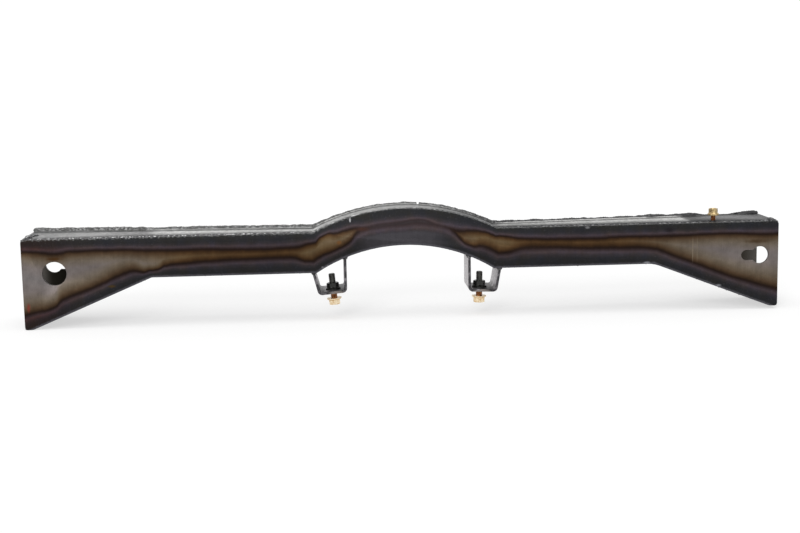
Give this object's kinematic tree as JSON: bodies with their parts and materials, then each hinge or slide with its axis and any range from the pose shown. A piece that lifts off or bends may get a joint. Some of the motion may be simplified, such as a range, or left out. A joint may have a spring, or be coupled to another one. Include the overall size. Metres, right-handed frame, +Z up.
{
  "type": "center crossmember",
  "caption": "Welded steel box crossmember with an arch over the propeller shaft, flared open ends and two U brackets that carry a centre bearing.",
  "frame": {"origin": "middle of the footprint, on the ground under the longer foot", "axes": "+X along the bar to its right end, +Y from the flat front plate to the splayed rear plate, +Z up"},
  "size_m": [0.9144, 0.088, 0.1386],
  "materials": {
    "plate_steel": "bare rolled sheet with a brown and blue heat tint beside the welds",
    "strip_steel": "bare rolled sheet, ground along its edges",
    "weld_metal": "weld bead, ground flush in front and left as laid behind",
    "bracket_steel": "bare flat bar with fine grinding marks",
    "yellow_zinc": "yellow zinc plated",
    "black_steel": "black oxide"
  },
  "bodies": {
    "root": {"front_plate": "plate_steel", "rear_plate": "plate_steel", "left_top_strip": "strip_steel", "right_top_strip": "strip_steel", "left_bottom_strip": "strip_steel", "right_bottom_strip": "strip_steel", "front_top_weld": "weld_metal", "rear_top_weld_left": "weld_metal", "rear_top_weld_right": "weld_metal", "front_bottom_weld": "weld_metal", "rear_bottom_weld": "weld_metal", "top_seam_weld": "weld_metal", "bottom_seam_weld": "weld_metal", "left_bracket": "bracket_steel", "right_bracket": "bracket_steel", "left_bracket_welds": "weld_metal", "right_bracket_welds": "weld_metal", "left_bearing_bolt": "yellow_zinc", "right_bearing_bolt": "yellow_zinc", "left_flange_nut": "black_steel", "right_flange_nut": "black_steel", "line_clip_screw": "yellow_zinc", "clip_weld_nut": "bracket_steel"}
  },
  "joints": []
}
